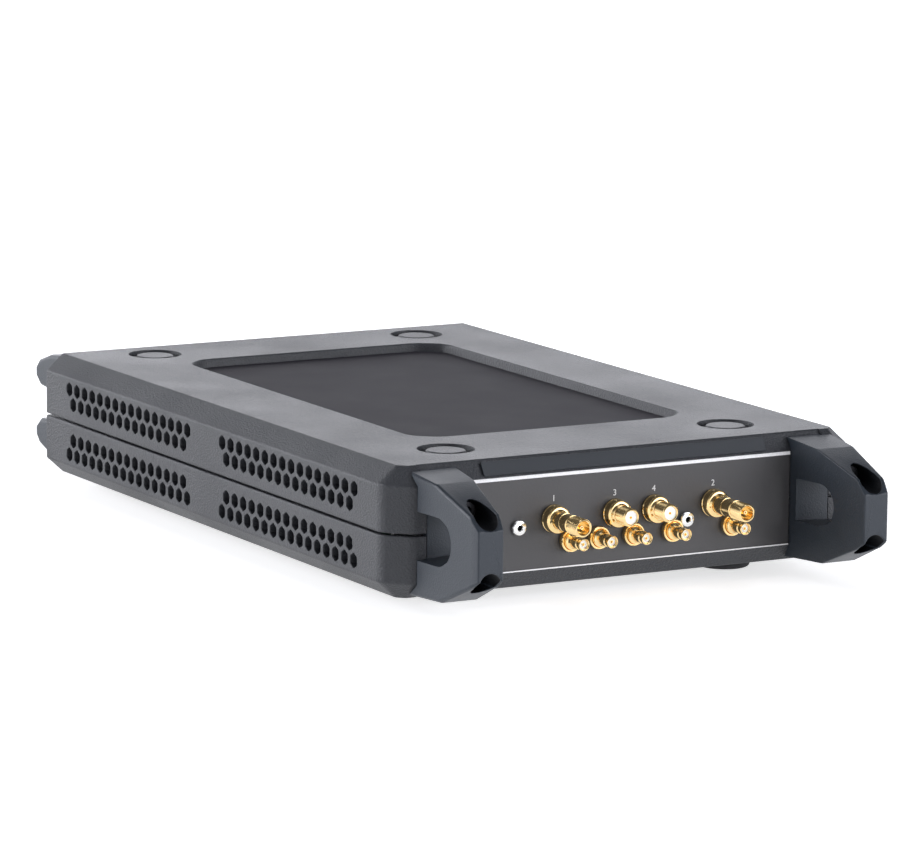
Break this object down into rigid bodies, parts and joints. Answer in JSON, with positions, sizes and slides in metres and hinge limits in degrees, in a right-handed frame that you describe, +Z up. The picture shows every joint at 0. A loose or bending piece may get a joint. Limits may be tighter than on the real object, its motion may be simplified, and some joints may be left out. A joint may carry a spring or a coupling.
{
  "type": "vector network analyzer",
  "caption": "Compact screenless network analyzer: flat vented two-shell case, recessed front panel with gold coaxial connectors, two bumper handles with finger openings, four rear posts, round feet.",
  "frame": {"origin": "under the middle of the whole object, on the plane that the rubber feet stand on", "axes": "+Z up, the connector panel faces -Y, +X is to the right of someone who faces the panel"},
  "size_m": [0.183, 0.331, 0.0494],
  "materials": {
    "shell_plastic": "fine spark-textured grey plastic",
    "bumper_plastic": "satin blue-grey moulded plastic",
    "panel_grey": "satin dark grey paint with a pale printed line at its top and bottom",
    "label_film": "semi-matt dark film",
    "gold_plate": "bright gold plate",
    "nickel_plate": "bright nickel plate",
    "black_steel": "black oxide",
    "black_rubber": "matt",
    "sheet_aluminium": "satin",
    "board_green": "solder mask",
    "coax_copper": "drawn copper",
    "fan_plastic": "moulded",
    "port_shell_steel": "stamped sheet"
  },
  "bodies": {
    "case": {"top_cover": "shell_plastic", "bottom_cover": "shell_plastic", "front_panel": "panel_grey", "rear_panel": "panel_grey", "top_label": "label_film", "front_label_strip": "label_film", "bias_jack_left": "nickel_plate", "bias_jack_right": "nickel_plate", "chassis_tray": "sheet_aluminium", "coax_lo_in": "coax_copper", "coax_lo_out": "coax_copper", "coax_port_1": "coax_copper", "coax_port_2": "coax_copper", "dc_power_jack": "fan_plastic", "digital_board": "board_green", "fan_frame_front": "fan_plastic", "fan_frame_rear": "fan_plastic", "foot_front_left": "black_rubber", "foot_front_right": "black_rubber", "foot_rear_left": "black_rubber", "foot_rear_right": "black_rubber", "ground_terminal": "nickel_plate", "handle_left": "bumper_plastic", "handle_right": "bumper_plastic", "handle_screw_lower_left": "black_steel", "handle_screw_lower_right": "black_steel", "handle_screw_upper_left": "black_steel", "handle_screw_upper_right": "black_steel", "heat_sink": "sheet_aluminium", "lo_in_connector": "gold_plate", "lo_out_connector": "gold_plate", "port_1_connector": "gold_plate", "port_2_connector": "gold_plate", "rear_bumper_lower_left": "bumper_plastic", "rear_bumper_lower_right": "bumper_plastic", "rear_bumper_screw_lower_left": "black_steel", "rear_bumper_screw_lower_right": "black_steel", "rear_bumper_screw_upper_left": "black_steel", "rear_bumper_screw_upper_right": "black_steel", "rear_bumper_upper_left": "bumper_plastic", "rear_bumper_upper_right": "bumper_plastic", "ref_in_jack": "nickel_plate", "ref_out_jack": "nickel_plate", "rf_board": "board_green", "rf_shield": "sheet_aluminium", "small_connector_1": "gold_plate", "small_connector_2": "gold_plate", "small_connector_3": "gold_plate", "small_connector_4": "gold_plate", "small_connector_5": "gold_plate", "standoff_1": "nickel_plate", "standoff_2": "nickel_plate", "standoff_3": "nickel_plate", "standoff_4": "nickel_plate", "trigger_in_jack": "nickel_plate", "trigger_out_jack": "nickel_plate", "usb_c_receptacle": "port_shell_steel"},
    "fan_front": {"fan_rotor_front": "fan_plastic"},
    "fan_rear": {"fan_rotor_rear": "fan_plastic"}
  },
  "joints": [
    {"name": "fan_front_spin", "type": "hinge", "parent": "case", "child": "fan_front", "pos_m": [0.0798, -0.0553, 0.0272], "axis": [1, 0, 0], "continuous": true},
    {"name": "fan_rear_spin", "type": "hinge", "parent": "case", "child": "fan_rear", "pos_m": [0.0798, 0.0682, 0.0272], "axis": [1, 0, 0], "continuous": true}
  ]
}
